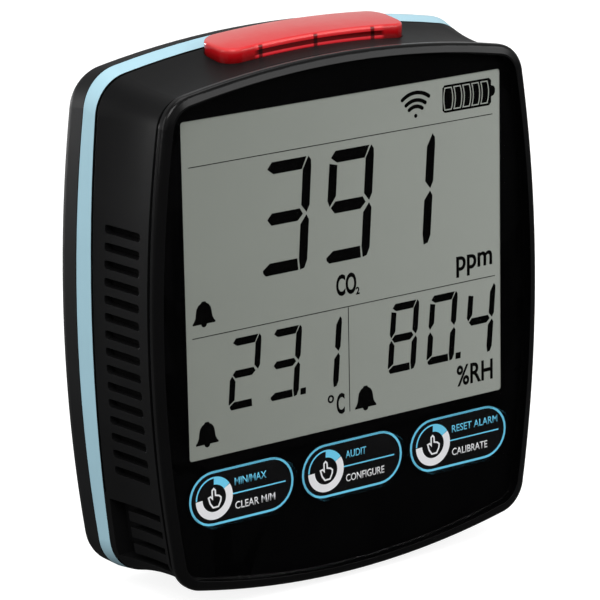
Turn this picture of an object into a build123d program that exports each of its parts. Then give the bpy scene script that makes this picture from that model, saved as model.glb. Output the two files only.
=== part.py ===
"""Carbon dioxide monitor for a wall: a bowed case with a large display, three keys and a red beacon.

Millimetres. X is to the right as the display is read, Z is up and the wall is the plane Y = 0.
Depth is measured out from the wall, so a depth of 10 is the plane Y = -10.
"""
import math
import os

from build123d import *

# ---------------------------------------------------------------- driving dimensions
# outlines, as half width, half height, corner radius, how far the top and the sides bow out
# from the corners, and height of the centre
bezel_size = (60.6, 68.7, 9.0, 5.8, 5.4, -0.35)
shell_front_size = (59.9, 67.9, 8.5, 6.4, 5.4, 0.0)
shell_waist_size = (60.9, 68.6, 9.0, 6.4, 5.4, 0.0)
shell_flare_size = (61.75, 70.2, 11.0, 6.4, 4.1, 0.0)
rear_shell_size = (63.45, 71.05, 11.4, 6.4, 5.4, 0.45)
rear_back_size = (63.45, 70.3, 11.4, 6.4, 5.4, -0.3)
bottom_bow = 6.6
rear_edge_radius = 4.0
wall = 2.0

# depths of the stack, from the wall to the glossy front
rear_shell_front = 9.2
band_front = 13.9
shell_waist = 22.5
shell_front = 36.3
flange_rear = 38.55
window_rear = 38.6
front_face = 41.1
back_wall = 2.2

# display: the area seen through the window
view_width = 99.9
view_height = 87.0
view_centre_z = 13.55
glass_join = 37.5
glass_margin = 0.85
glass_corner_cut = 1.3
front_glass_thickness = 0.9
rear_glass_rear = 36.4

# circuit board
board_rear = 32.0
board_front = 33.6
board_inset = 3.6

# keys
key_names = ("left", "middle", "right")
key_pitch = 34.9
key_row_x = 0.45
key_z = -40.8
key_width = 32.3
key_height = 14.4
key_gap = 0.2
key_travel = 0.5
switch_top = 35.8
plunger_top = 36.5

# side vents
vent_count = 15
vent_pitch = 4.505
vent_height = 2.2
vent_top_z = 29.4
vent_rear = 19.0
vent_front = 32.9

# sensor corner: a pocket in the lower left corner of the front shell
pocket_rear = 15.5
pocket_front = 35.2
pocket_top_z = -43.4
pocket_bottom_z = -59.2
pocket_inner_x = -44.9
pocket_sink = 4.0
pocket_wall = 1.4
louvre_rear = 21.3
louvre_pitch = 4.505
louvre_height = 2.7
louvre_top_z = -45.6

# beacon on the top
beacon_x = 0.45
beacon_half_width = 28.45
beacon_rear = 14.0
beacon_front = 27.8
beacon_radius = 4.8
beacon_top_z = 72.2
beacon_arc_radius = 300.0
beacon_lean = 7.3
beacon_wall = 1.5
beacon_edge = 0.9
beacon_foot_z = 62.8
beacon_clearance = 0.15

# battery bay: four AA cells side by side behind a sliding door
cell_count = 4
cell_radius = 7.1
cell_pitch = 15.4
cell_body_length = 49.2
cell_nub_radius = 2.75
cell_nub_length = 1.3
cell_depth = 10.6
tray_half_width = 32.5
tray_rear = 2.1
tray_front = 19.2
tray_wall = 1.4
tray_top_z = -5.0
tray_length = 56.8
door_half_width = 31.3
door_thickness = 1.9
door_top_z = -4.7
door_gap = 0.2
door_tongue = 1.7
door_tongue_rear = 1.0

# fasteners: the same four posts carry the board in front and the rear shell behind
post_spots = ((-52.3, 40.0), (52.3, 40.0), (-40.0, -58.6), (40.0, -58.6))
post_radius = 3.2
pilot_radius = 1.3
pilot_depth = 8.0
screw_radius = 1.25
well_radius = 3.8
counterbore_radius = 2.9
counterbore_depth = 6.0
head_radius = 2.3
head_height = 1.8

# keyholes in the back
keyhole_spacing = 44.0
keyhole_z = 46.0
keyhole_entry_radius = 4.2
keyhole_slot_radius = 2.1
keyhole_rise = 7.0

# power socket in the underside
socket_x = 20.0
socket_depth = 30.4
socket_width = 9.0
socket_height = 3.2
socket_length = 7.3
socket_mouth_z = -66.0
socket_port_width = 12.6
socket_port_height = 6.4


# ---------------------------------------------------------------- helpers
def layer(depth):
    """Plane facing the reader, this far out from the wall."""
    return Plane.XZ.offset(depth)


def outline(half_width, half_height, radius, top_bow, side_bow, centre_z, inset=0.0):
    """Bowed rectangle: four shallow arcs, with rounded corners where they meet."""
    corner_x = half_width - inset - side_bow
    top_z = half_height - inset - top_bow
    bottom_z = inset + bottom_bow - half_height
    with BuildSketch() as face:
        with BuildLine():
            ThreePointArc((-corner_x, top_z), (0, half_height - inset), (corner_x, top_z))
            ThreePointArc((corner_x, top_z), (half_width - inset, 0), (corner_x, bottom_z))
            ThreePointArc((corner_x, bottom_z), (0, inset - half_height), (-corner_x, bottom_z))
            ThreePointArc((-corner_x, bottom_z), (inset - half_width, 0), (-corner_x, top_z))
        make_face()
        fillet(face.vertices(), radius - inset)
    return face.sketch.moved(Location((0, centre_z, 0)))


def flare(inset=0.0):
    """Solid body of the front shell: a hollow sweep from the bezel out to the trim band."""
    with BuildPart() as body:
        with BuildSketch(layer(band_front)):
            add(outline(*shell_flare_size, inset))
        with BuildSketch(layer(shell_waist)):
            add(outline(*shell_waist_size, inset))
        with BuildSketch(layer(shell_front)):
            add(outline(*shell_front_size, inset))
        loft()
    return body.part


def slab(x_range, depth_range, z_range):
    """Plain block between three pairs of limits, the middle pair measured out from the wall."""
    sizes = [limits[1] - limits[0] for limits in (x_range, depth_range, z_range)]
    with BuildPart() as block:
        with Locations((sum(x_range) / 2, -sum(depth_range) / 2, sum(z_range) / 2)):
            Box(*sizes)
    return block.part


def shell_skin(outer_inset, inner_inset, limits):
    """Part of the front shell between two insets, kept inside a block."""
    with BuildPart() as skin:
        add(flare(outer_inset))
        add(flare(inner_inset), mode=Mode.SUBTRACT)
        add(slab(*limits), mode=Mode.INTERSECT)
    return skin.part


def glass_outline(margin=0.0):
    """Display glass with its corners cut off, grown by margin."""
    with BuildSketch() as face:
        with Locations((0, view_centre_z)):
            Rectangle(glass_width + 2 * margin, glass_height + 2 * margin)
        chamfer(face.vertices(), glass_corner_cut)
    return face.sketch


def finish(part, name):
    """Label a piece and write it to its own file."""
    part.label = name
    export_step(part, f"parts/{name}.step")


os.makedirs("parts", exist_ok=True)

# limits of the corner pocket, and of the walls that back it
pocket_x_range = (-80.0, pocket_inner_x)
pocket_z_range = (pocket_bottom_z, pocket_top_z)
backing_x_range = (-80.0, pocket_inner_x + pocket_wall)
backing_z_range = (pocket_bottom_z - pocket_wall, pocket_top_z + pocket_wall)


# ---------------------------------------------------------------- bezel frame
mask_thickness = 0.1
neck_inset = 1.4
opening_inset = 5.0
pocket_inset = 2.4
tongue_outer_inset = 3.4
tongue_inner_inset = 4.6
tongue_rear = 33.9
tongue_half_width = 22.0
tongue_half_height = 25.0
tongue_reach = 80.0
rim_inset = 2.3
rim_drop = 0.55
bezel_edge_radius = 1.2
glass_width = view_width + 2 * glass_margin
glass_height = view_height + 2 * glass_margin
glass_gap = 0.15

with BuildPart() as bezel_frame:
    with BuildSketch(layer(shell_front)):
        add(outline(*bezel_size, neck_inset))
    extrude(amount=flange_rear - shell_front)
    with BuildSketch(layer(flange_rear)):
        add(outline(*bezel_size))
    extrude(amount=front_face - flange_rear)
    # the rim slopes back from the window to a rounded edge
    glossy_face = bezel_frame.faces().sort_by(Axis.Y)[0]
    chamfer(glossy_face.edges(), rim_inset, rim_drop, reference=glossy_face)
    edge_y = rim_drop - front_face
    fillet(bezel_frame.edges().filter_by_position(Axis.Y, edge_y - 0.01, edge_y + 0.01), bezel_edge_radius)
    with BuildSketch(layer(tongue_rear)) as tongues:
        add(outline(*bezel_size, tongue_outer_inset))
        add(outline(*bezel_size, tongue_inner_inset), mode=Mode.SUBTRACT)
        Rectangle(2 * tongue_half_width, 2 * tongue_reach, mode=Mode.INTERSECT)
    extrude(amount=shell_front - tongue_rear)
    with BuildSketch(layer(tongue_rear)) as side_tongues:
        add(outline(*bezel_size, tongue_outer_inset))
        add(outline(*bezel_size, tongue_inner_inset), mode=Mode.SUBTRACT)
        Rectangle(2 * tongue_reach, 2 * tongue_half_height, mode=Mode.INTERSECT)
    extrude(amount=shell_front - tongue_rear)
    with BuildSketch(layer(tongue_rear)):
        add(outline(*bezel_size, opening_inset))
        add(glass_outline(glass_gap))
    extrude(amount=front_face - tongue_rear, mode=Mode.SUBTRACT)
    with BuildSketch(layer(window_rear - mask_thickness)):
        add(outline(*bezel_size, pocket_inset))
    extrude(amount=front_face - window_rear + mask_thickness, mode=Mode.SUBTRACT)
finish(bezel_frame.part, "bezel_frame")


# ---------------------------------------------------------------- window and its black backing
window_inset = 2.5
mask_inset = 2.8
key_spots = [(key_row_x + (index - 1) * key_pitch, key_z) for index in range(len(key_names))]

with BuildPart() as display_window:
    with BuildSketch(layer(window_rear)):
        add(outline(*bezel_size, window_inset))
        with Locations(*key_spots):
            SlotOverall(key_width + 2 * key_gap, key_height + 2 * key_gap, mode=Mode.SUBTRACT)
    extrude(amount=front_face - window_rear)
finish(display_window.part, "display_window")

with BuildPart() as window_mask:
    with BuildSketch(layer(window_rear - mask_thickness)):
        add(outline(*bezel_size, mask_inset))
        with Locations((0, view_centre_z)):
            RectangleRounded(view_width, view_height, 0.8, mode=Mode.SUBTRACT)
        with Locations(*key_spots):
            SlotOverall(key_width + 3 * key_gap, key_height + 3 * key_gap, mode=Mode.SUBTRACT)
    extrude(amount=mask_thickness)
finish(window_mask.part, "window_mask")


# ---------------------------------------------------------------- keys
pad_rear = 38.0
retainer_rear = 37.0
retainer_margin = 1.1
stem_radius = 2.2
plunger_radius = 1.7
plunger_rear = 35.2

for key_name, (key_x, key_centre_z) in zip(key_names, key_spots):
    with BuildPart() as key_cap:
        with BuildSketch(layer(window_rear)):
            with Locations((key_x, key_centre_z)):
                SlotOverall(key_width, key_height)
        extrude(amount=front_face - window_rear)
        chamfer(key_cap.faces().sort_by(Axis.Y)[0].edges(), 0.12)
    finish(key_cap.part, f"key_cap_{key_name}")

    with BuildPart() as key_carrier:
        with BuildSketch(layer(pad_rear)):
            with Locations((key_x, key_centre_z)):
                SlotOverall(key_width, key_height)
        extrude(amount=window_rear - pad_rear)
        with BuildSketch(layer(retainer_rear)):
            with Locations((key_x, key_centre_z)):
                SlotOverall(key_width + 2 * retainer_margin, key_height + 2 * retainer_margin)
        extrude(amount=pad_rear - retainer_rear)
        with BuildSketch(layer(plunger_top)):
            with Locations((key_x, key_centre_z)):
                Circle(stem_radius)
        extrude(amount=retainer_rear - plunger_top)
    finish(key_carrier.part, f"key_carrier_{key_name}")

    with BuildPart() as switch_plunger:
        with BuildSketch(layer(plunger_rear)):
            with Locations((key_x, key_centre_z)):
                Circle(plunger_radius)
        extrude(amount=plunger_top - plunger_rear)
    finish(switch_plunger.part, f"switch_plunger_{key_name}")

switch_width = 6.2
switch_bore_rear = 34.4
with BuildPart() as key_switches:
    with BuildSketch(layer(board_front)):
        with Locations(*key_spots):
            RectangleRounded(switch_width, switch_width, 0.5)
    extrude(amount=switch_top - board_front)
    with BuildSketch(layer(switch_bore_rear)):
        with Locations(*key_spots):
            Circle(plunger_radius + 0.08)
    extrude(amount=switch_top - switch_bore_rear, mode=Mode.SUBTRACT)
finish(key_switches.part, "key_switches")


# ---------------------------------------------------------------- display
contact_ledge = 3.2
front_glass_front = glass_join + front_glass_thickness
glass_bottom_z = view_centre_z - glass_height / 2
reflector_rear = 34.4
reflector_front = 36.3
reflector_half_width = 48.6
reflector_bottom_z = -27.2
reflector_top_z = 55.7
frame_hole_gap = 0.15
reflector_ledge = 1.5
frame_inset = 5.15
frame_bottom_z = -31.7
strip_bottom_z = -30.3
strip_top_z = -28.3
strip_half_width = 46.0
strip_slot_gap = 0.15
reflector_centre_z = (reflector_top_z + reflector_bottom_z) / 2
reflector_height = reflector_top_z - reflector_bottom_z
strip_centre_z = (strip_top_z + strip_bottom_z) / 2
strip_height = strip_top_z - strip_bottom_z

with BuildPart() as lcd_front_glass:
    with BuildSketch(layer(glass_join)):
        add(glass_outline())
    extrude(amount=front_glass_thickness)
finish(lcd_front_glass.part, "lcd_front_glass")

with BuildPart() as lcd_rear_glass:
    with BuildSketch(layer(rear_glass_rear)):
        add(glass_outline())
        with Locations((0, glass_bottom_z)):
            Rectangle(glass_width, 2 * contact_ledge, mode=Mode.SUBTRACT)
    extrude(amount=glass_join - rear_glass_rear)
finish(lcd_rear_glass.part, "lcd_rear_glass")

with BuildPart() as lcd_reflector:
    with BuildSketch(layer(reflector_rear)):
        with Locations((0, reflector_centre_z)):
            Rectangle(2 * reflector_half_width, reflector_height)
    extrude(amount=reflector_front - reflector_rear)
finish(lcd_reflector.part, "lcd_reflector")

with BuildPart() as lcd_frame:
    with BuildSketch(layer(board_front)):
        add(outline(*bezel_size, frame_inset))
        add(glass_outline(-glass_gap))
        with Locations((0, frame_bottom_z - tongue_reach)):
            Rectangle(2 * tongue_reach, 2 * tongue_reach, mode=Mode.SUBTRACT)
        with Locations((0, strip_centre_z)):
            Rectangle(
                2 * (strip_half_width + strip_slot_gap),
                strip_height + 2 * strip_slot_gap,
                mode=Mode.SUBTRACT,
            )
        with Locations(*post_spots[:2]):
            Circle(head_radius + 0.4, mode=Mode.SUBTRACT)
    extrude(amount=rear_glass_rear - board_front)
    with BuildSketch(layer(reflector_rear)):
        with Locations((0, reflector_centre_z)):
            Rectangle(
                2 * (reflector_half_width + frame_hole_gap),
                reflector_height + 2 * frame_hole_gap,
            )
    extrude(amount=rear_glass_rear - reflector_rear, mode=Mode.SUBTRACT)
    with BuildSketch(layer(board_front)):
        with Locations((0, reflector_centre_z)):
            Rectangle(
                2 * (reflector_half_width - 2 * reflector_ledge),
                reflector_height - 4 * reflector_ledge,
            )
    extrude(amount=reflector_rear - board_front, mode=Mode.SUBTRACT)
finish(lcd_frame.part, "lcd_frame")

with BuildPart() as zebra_strip:
    with BuildSketch(layer(board_front)):
        with Locations((0, strip_centre_z)):
            Rectangle(2 * strip_half_width, strip_height)
    extrude(amount=glass_join - board_front)
finish(zebra_strip.part, "zebra_strip")


# ---------------------------------------------------------------- main board and what stands on it
processor_spot = (6.0, 34.0)
processor_side = 14.0
processor_thickness = 1.4
radio_spot = (34.0, 38.0)
radio_size = (18.0, 25.5)
radio_board_thickness = 0.8
radio_can_size = (15.6, 17.4)
radio_can_thickness = 2.3
sounder_spot = (41.0, -22.0)
sounder_radius = 8.0
sounder_height = 5.4
sounder_port_radius = 1.2
board_notch_gap = 0.3

with BuildPart() as main_board:
    with BuildSketch(layer(board_rear)):
        add(outline(*bezel_size, board_inset))
        with Locations(*post_spots):
            Circle(screw_radius + 0.1, mode=Mode.SUBTRACT)
    extrude(amount=board_front - board_rear)
    add(
        shell_skin(
            -1.0,
            pocket_sink + pocket_wall + board_notch_gap,
            (
                (backing_x_range[0], backing_x_range[1] + board_notch_gap),
                (board_rear, board_front),
                (backing_z_range[0] - board_notch_gap, backing_z_range[1] + board_notch_gap),
            ),
        ),
        mode=Mode.SUBTRACT,
    )
finish(main_board.part, "main_board")

with BuildPart() as processor_chip:
    with BuildSketch(layer(board_rear)):
        with Locations(processor_spot):
            RectangleRounded(processor_side, processor_side, 0.4)
    extrude(amount=-processor_thickness)
finish(processor_chip.part, "processor_chip")

with BuildPart() as radio_module:
    with BuildSketch(layer(board_rear)):
        with Locations(radio_spot):
            Rectangle(*radio_size)
    extrude(amount=-radio_board_thickness)
    with BuildSketch(layer(board_rear - radio_board_thickness)):
        with Locations((radio_spot[0], radio_spot[1] - 3.2)):
            RectangleRounded(*radio_can_size, 0.8)
    extrude(amount=-radio_can_thickness)
finish(radio_module.part, "radio_module")

with BuildPart() as sounder:
    with BuildSketch(layer(board_rear)):
        with Locations(sounder_spot):
            Circle(sounder_radius)
    extrude(amount=-sounder_height)
    with BuildSketch(layer(board_rear - sounder_height)):
        with Locations(sounder_spot):
            Circle(sounder_port_radius)
    extrude(amount=1.5, mode=Mode.SUBTRACT)
finish(sounder.part, "sounder")

socket_shell = 0.35
with BuildPart() as power_socket:
    with BuildSketch(Plane.XY.offset(socket_mouth_z)):
        with Locations((socket_x, -socket_depth)):
            SlotOverall(socket_width, socket_height)
    extrude(amount=socket_length)
    with BuildSketch(Plane.XY.offset(socket_mouth_z)):
        with Locations((socket_x, -socket_depth)):
            SlotOverall(socket_width - 2 * socket_shell, socket_height - 2 * socket_shell)
    extrude(amount=socket_length - 1.2, mode=Mode.SUBTRACT)
    with BuildSketch(Plane.XY.offset(socket_mouth_z + 1.0)):
        with Locations((socket_x, -socket_depth)):
            Rectangle(6.0, 0.7)
    extrude(amount=socket_length - 1.5)
finish(power_socket.part, "power_socket")


# ---------------------------------------------------------------- carbon dioxide sensor
sensor_spot = (-31.0, 20.0)
sensor_board_size = (42.0, 30.0)
sensor_board_rear = 27.6
sensor_board_thickness = 1.2
chamber_size = (34.0, 20.0)
chamber_thickness = 7.6
membrane_size = (14.0, 9.0)
membrane_thickness = 0.5
pin_count = 7
pin_pitch = 2.54
pin_side = 0.64

with BuildPart() as co2_sensor_board:
    with BuildSketch(layer(sensor_board_rear)):
        with Locations(sensor_spot):
            RectangleRounded(*sensor_board_size, 1.0)
    extrude(amount=sensor_board_thickness)
finish(co2_sensor_board.part, "co2_sensor_board")

with BuildPart() as co2_sensor_chamber:
    with BuildSketch(layer(sensor_board_rear)):
        with Locations(sensor_spot):
            RectangleRounded(*chamber_size, 2.5)
    extrude(amount=-chamber_thickness)
    fillet(co2_sensor_chamber.faces().sort_by(Axis.Y)[-1].edges(), 1.0)
finish(co2_sensor_chamber.part, "co2_sensor_chamber")

with BuildPart() as co2_sensor_membrane:
    with BuildSketch(layer(sensor_board_rear - chamber_thickness)):
        with Locations((sensor_spot[0] - 6.0, sensor_spot[1])):
            RectangleRounded(*membrane_size, 1.5)
    extrude(amount=-membrane_thickness)
finish(co2_sensor_membrane.part, "co2_sensor_membrane")

pin_row_z = sensor_spot[1] - sensor_board_size[1] / 2 + 2.0
with BuildPart() as co2_sensor_pins:
    with BuildSketch(layer(sensor_board_rear + sensor_board_thickness)):
        with Locations((sensor_spot[0], pin_row_z)):
            with GridLocations(pin_pitch, pin_pitch, pin_count, 1):
                Rectangle(pin_side, pin_side)
    extrude(amount=board_rear - sensor_board_rear - sensor_board_thickness)
finish(co2_sensor_pins.part, "co2_sensor_pins")


# ---------------------------------------------------------------- front shell
post_web = 2.4
side_web_reach = 4.9
bottom_web_reach = 5.2
air_window_height = 1.5
air_window_depths = (23.0, 31.0)
vent_length = vent_front - vent_rear
vent_centre_y = -(vent_front + vent_rear) / 2
vent_heights_z = [vent_top_z - vent_height / 2 - index * vent_pitch for index in range(vent_count)]
louvre_heights_z = [louvre_top_z - louvre_height / 2 - index * louvre_pitch for index in range(3)]
air_window_z = [height_z - louvre_pitch / 2 for height_z in louvre_heights_z[:2]]
beacon_length = beacon_front - beacon_rear
beacon_centre_y = -(beacon_front + beacon_rear) / 2


def beacon_plan(inset=0.0):
    """Plan of the beacon lens, seen from above, moved in by inset."""
    with BuildSketch() as plan:
        with Locations((beacon_x, beacon_centre_y)):
            RectangleRounded(
                2 * (beacon_half_width - inset), beacon_length - 2 * inset, beacon_radius - inset
            )
    return plan.sketch


groove_width = 0.6
groove_sink = 0.8

with BuildPart() as front_shell:
    add(flare())
    add(flare(wall), mode=Mode.SUBTRACT)
    # narrow groove beside the trim band
    with BuildSketch(layer(band_front)):
        add(outline(*shell_flare_size, -groove_sink))
        add(outline(*shell_flare_size, groove_sink), mode=Mode.SUBTRACT)
    extrude(amount=groove_width, mode=Mode.SUBTRACT)
    # corner pocket with its backing wall, and the air windows in that wall
    backing_limits = (backing_x_range, (band_front, shell_front), backing_z_range)
    add(shell_skin(0.0, pocket_sink + pocket_wall, backing_limits))
    add(
        shell_skin(-1.0, pocket_sink, (pocket_x_range, (pocket_rear, pocket_front), pocket_z_range)),
        mode=Mode.SUBTRACT,
    )
    for window_z in air_window_z:
        with Locations((pocket_inner_x - 8.0, -sum(air_window_depths) / 2, window_z)):
            Box(
                14.0,
                air_window_depths[1] - air_window_depths[0],
                air_window_height,
                mode=Mode.SUBTRACT,
            )
    # posts, each with a web to the nearest wall
    with BuildSketch(layer(band_front)):
        with Locations(*post_spots):
            Circle(post_radius)
        for spot_x, spot_z in post_spots[:2]:
            outward = 1 if spot_x > 0 else -1
            with Locations((spot_x + outward * side_web_reach / 2, spot_z)):
                Rectangle(side_web_reach, post_web)
        for spot_x, spot_z in post_spots[2:]:
            with Locations((spot_x, spot_z - bottom_web_reach / 2)):
                Rectangle(post_web, bottom_web_reach)
    extrude(amount=board_rear - band_front)
    with BuildSketch(layer(band_front)):
        with Locations(*post_spots):
            Circle(pilot_radius)
    extrude(amount=board_rear - band_front, mode=Mode.SUBTRACT)
    # vents through both side walls
    with BuildSketch(Plane.YZ):
        with Locations(*[(vent_centre_y, height_z) for height_z in vent_heights_z]):
            RectangleRounded(vent_length, vent_height, 0.7)
    extrude(amount=70.0, both=True, mode=Mode.SUBTRACT)
    # beacon opening and the port for the power lead
    with BuildSketch(Plane.XY.offset(beacon_foot_z)):
        add(beacon_plan(-beacon_clearance))
    extrude(amount=12.0, mode=Mode.SUBTRACT)
    with BuildSketch(Plane.XY.offset(socket_mouth_z + 4.0)):
        with Locations((socket_x, -socket_depth)):
            RectangleRounded(socket_port_width, socket_port_height, 2.0)
    extrude(amount=-12.0, mode=Mode.SUBTRACT)
finish(front_shell.part, "front_shell")


# ---------------------------------------------------------------- louvre insert and humidity sensor
louvre_gap = 0.15
louvre_relief = 0.5
louvre_plate = 0.8
louvre_depths = (louvre_rear, pocket_front - louvre_gap)
louvre_x_range = (-80.0, pocket_inner_x - louvre_gap)
louvre_z_range = (pocket_bottom_z + louvre_gap, pocket_top_z - louvre_gap)
louvre_floor = pocket_sink - louvre_gap

with BuildPart() as sensor_louvre:
    louvre_limits = (louvre_x_range, louvre_depths, louvre_z_range)
    add(shell_skin(louvre_floor - louvre_plate, louvre_floor, louvre_limits))
    for height_z in louvre_heights_z:
        rib_z_range = (height_z - louvre_height / 2, height_z + louvre_height / 2)
        add(shell_skin(louvre_relief, louvre_floor, (louvre_x_range, louvre_depths, rib_z_range)))
    for window_z in air_window_z:
        with Locations((pocket_inner_x - 8.0, -sum(air_window_depths) / 2, window_z)):
            Box(
                14.0,
                air_window_depths[1] - air_window_depths[0],
                air_window_height,
                mode=Mode.SUBTRACT,
            )
finish(sensor_louvre.part, "sensor_louvre")

humidity_board_x_range = (-49.0, -48.0)
humidity_board_z_range = (-50.6, -42.6)
humidity_board_rear = 22.5
humidity_chip_height = 0.9
humidity_chip_side = 2.5
humidity_chip_depth = 27.0

with BuildPart() as humidity_sensor_board:
    add(slab(humidity_board_x_range, (humidity_board_rear, board_rear), humidity_board_z_range))
finish(humidity_sensor_board.part, "humidity_sensor_board")

with BuildPart() as humidity_sensor_chip:
    with Locations((humidity_board_x_range[0], -humidity_chip_depth, air_window_z[0])):
        Box(
            humidity_chip_height,
            humidity_chip_side,
            humidity_chip_side,
            align=(Align.MAX, Align.CENTER, Align.CENTER),
        )
finish(humidity_sensor_chip.part, "humidity_sensor_chip")


# ---------------------------------------------------------------- dust filters behind the vents
filter_gap = 0.1
filter_thickness = 0.8
filter_depths = (17.5, 31.6)
filter_half_height = 36.0
filter_centre_z = vent_heights_z[vent_count // 2]
filter_z_range = (filter_centre_z - filter_half_height, filter_centre_z + filter_half_height)

with BuildPart() as vent_filters:
    add(
        shell_skin(
            wall + filter_gap,
            wall + filter_gap + filter_thickness,
            ((-70.0, 70.0), filter_depths, filter_z_range),
        )
    )
finish(vent_filters.part, "vent_filters")


# ---------------------------------------------------------------- beacon
rib_spots_x = (-18.0, -1.0, 17.0)
rib_thickness = 1.3
rib_drop = 3.0
flange_reach = 0.8
flange_thickness = 1.1
lamp_board_half_width = 26.0
lamp_board_rear = 17.0
lamp_board_thickness = 1.0
lamp_board_bottom_z = 61.4
led_count = 6
led_pitch = 8.4
led_width = 3.5
led_length = 2.8
led_height = 1.9


def beacon_block(inset, top_z):
    """Beacon plan raised to a top that arches along its length and slopes down to the front."""
    lean = math.radians(beacon_lean)
    crown = Plane(
        origin=(beacon_x, beacon_centre_y, top_z),
        x_dir=(1, 0, 0),
        z_dir=(0, -math.cos(lean), -math.sin(lean)),
    )
    with BuildPart() as block:
        with BuildSketch(Plane.XY.offset(beacon_foot_z)):
            add(beacon_plan(inset))
        extrude(amount=14.0)
        with BuildSketch(crown):
            with Locations((0, -beacon_arc_radius)):
                Circle(beacon_arc_radius)
        extrude(amount=beacon_length, both=True, mode=Mode.INTERSECT)
    return block.part


with BuildPart() as beacon_hollow:
    add(beacon_block(beacon_wall, beacon_top_z - beacon_wall))
    for rib_x in rib_spots_x:
        with Locations((rib_x, beacon_centre_y, beacon_top_z - beacon_wall)):
            Box(rib_thickness, beacon_length, 2 * rib_drop, mode=Mode.SUBTRACT)

with BuildPart() as beacon_lens:
    add(beacon_block(0.0, beacon_top_z))
    fillet(beacon_lens.faces().sort_by(Axis.Z)[-1].edges(), beacon_edge)
    with BuildSketch(Plane.XY.offset(beacon_foot_z)):
        add(beacon_plan(-flange_reach))
    extrude(amount=flange_thickness)
    add(beacon_hollow.part, mode=Mode.SUBTRACT)
finish(beacon_lens.part, "beacon_lens")

with BuildPart() as lamp_board:
    add(
        slab(
            (-lamp_board_half_width, lamp_board_half_width),
            (lamp_board_rear, board_rear),
            (lamp_board_bottom_z, lamp_board_bottom_z + lamp_board_thickness),
        )
    )
finish(lamp_board.part, "lamp_board")

with BuildPart() as beacon_leds:
    with BuildSketch(Plane.XY.offset(lamp_board_bottom_z + lamp_board_thickness)):
        with Locations((beacon_x, beacon_centre_y)):
            with GridLocations(led_pitch, led_pitch, led_count, 1):
                RectangleRounded(led_width, led_length, 0.3)
    extrude(amount=led_height)
finish(beacon_leds.part, "beacon_leds")


# ---------------------------------------------------------------- trim band
band_shadow = 0.28
band_relief = 0.7

with BuildPart() as trim_band:
    with BuildSketch(layer(rear_shell_front)):
        add(outline(*rear_shell_size, band_relief))
    with BuildSketch(layer(band_front)):
        add(outline(*shell_flare_size, band_relief))
    loft()
    with BuildSketch(layer(rear_shell_front + band_shadow)):
        add(outline(*rear_shell_size))
    with BuildSketch(layer(band_front - band_shadow)):
        add(outline(*shell_flare_size))
    loft()
    with BuildSketch(layer(rear_shell_front)):
        add(outline(*shell_flare_size, wall))
    extrude(amount=band_front - rear_shell_front, mode=Mode.SUBTRACT)
finish(trim_band.part, "trim_band")


# ---------------------------------------------------------------- rear shell
door_frame_half_width = 35.6
door_frame_top_z = -2.5
door_frame_front = 4.2
tray_bottom_z = tray_top_z - tray_length
tray_gap = 0.2
screw_hole_radius = 1.4
bottom_reach = -80.0

with BuildPart() as rear_body:
    with BuildSketch(layer(0)):
        add(outline(*rear_back_size))
    with BuildSketch(layer(rear_shell_front)):
        add(outline(*rear_shell_size))
    loft()
    fillet(rear_body.faces().sort_by(Axis.Y)[-1].edges(), rear_edge_radius)

with BuildPart() as door_frame:
    add(rear_body.part)
    add(
        slab(
            (-door_frame_half_width, door_frame_half_width),
            (0, door_frame_front),
            (bottom_reach, door_frame_top_z),
        ),
        mode=Mode.INTERSECT,
    )

with BuildPart() as rear_shell:
    add(rear_body.part)
    with BuildSketch(layer(back_wall)):
        add(outline(*rear_back_size, wall))
    extrude(amount=rear_shell_front - back_wall, mode=Mode.SUBTRACT)
    add(door_frame.part)
    # wells for the case screws
    with BuildSketch(layer(0)):
        with Locations(*post_spots):
            Circle(well_radius)
    extrude(amount=band_front)
    with BuildSketch(layer(0)):
        with Locations(*post_spots):
            Circle(counterbore_radius)
    extrude(amount=counterbore_depth, mode=Mode.SUBTRACT)
    with BuildSketch(layer(0)):
        with Locations(*post_spots):
            Circle(screw_hole_radius)
    extrude(amount=band_front, mode=Mode.SUBTRACT)
    # recess for the door, grooves for its tongues and the hole the battery tray fills
    add(
        slab(
            (-door_half_width - door_gap, door_half_width + door_gap),
            (-1.0, tray_rear),
            (bottom_reach, door_top_z + door_gap),
        ),
        mode=Mode.SUBTRACT,
    )
    add(
        slab(
            (-door_half_width - door_tongue - door_gap, door_half_width + door_tongue + door_gap),
            (door_tongue_rear - door_gap, tray_rear),
            (bottom_reach, door_top_z + door_gap),
        ),
        mode=Mode.SUBTRACT,
    )
    add(
        slab(
            (-tray_half_width - tray_gap, tray_half_width + tray_gap),
            (0, door_frame_front + 1.0),
            (tray_bottom_z - tray_gap, tray_top_z + tray_gap),
        ),
        mode=Mode.SUBTRACT,
    )
    # the rails over the tongues, cut away above by the tray hole, are put back
    for side in (-1, 1):
        rail_limits = sorted((side * (door_half_width + door_gap), side * door_frame_half_width))
        add(slab(rail_limits, (0, door_tongue_rear - door_gap), (tray_bottom_z - 1.0, door_top_z + 1.0)))
    # keyholes
    with BuildSketch(layer(0)):
        with Locations((-keyhole_spacing / 2, keyhole_z), (keyhole_spacing / 2, keyhole_z)):
            Circle(keyhole_entry_radius)
        with Locations(
            (-keyhole_spacing / 2, keyhole_z + keyhole_rise / 2),
            (keyhole_spacing / 2, keyhole_z + keyhole_rise / 2),
        ):
            SlotCenterToCenter(keyhole_rise, 2 * keyhole_slot_radius, rotation=90)
    extrude(amount=back_wall, mode=Mode.SUBTRACT)
finish(rear_shell.part, "rear_shell")


# ---------------------------------------------------------------- battery door
grip_count = 7
grip_pitch = 2.4
grip_width = 26.0
grip_height = 1.0
grip_sink = 0.5
grip_centre_z = -18.0
tongue_end_inset = 1.2

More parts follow.
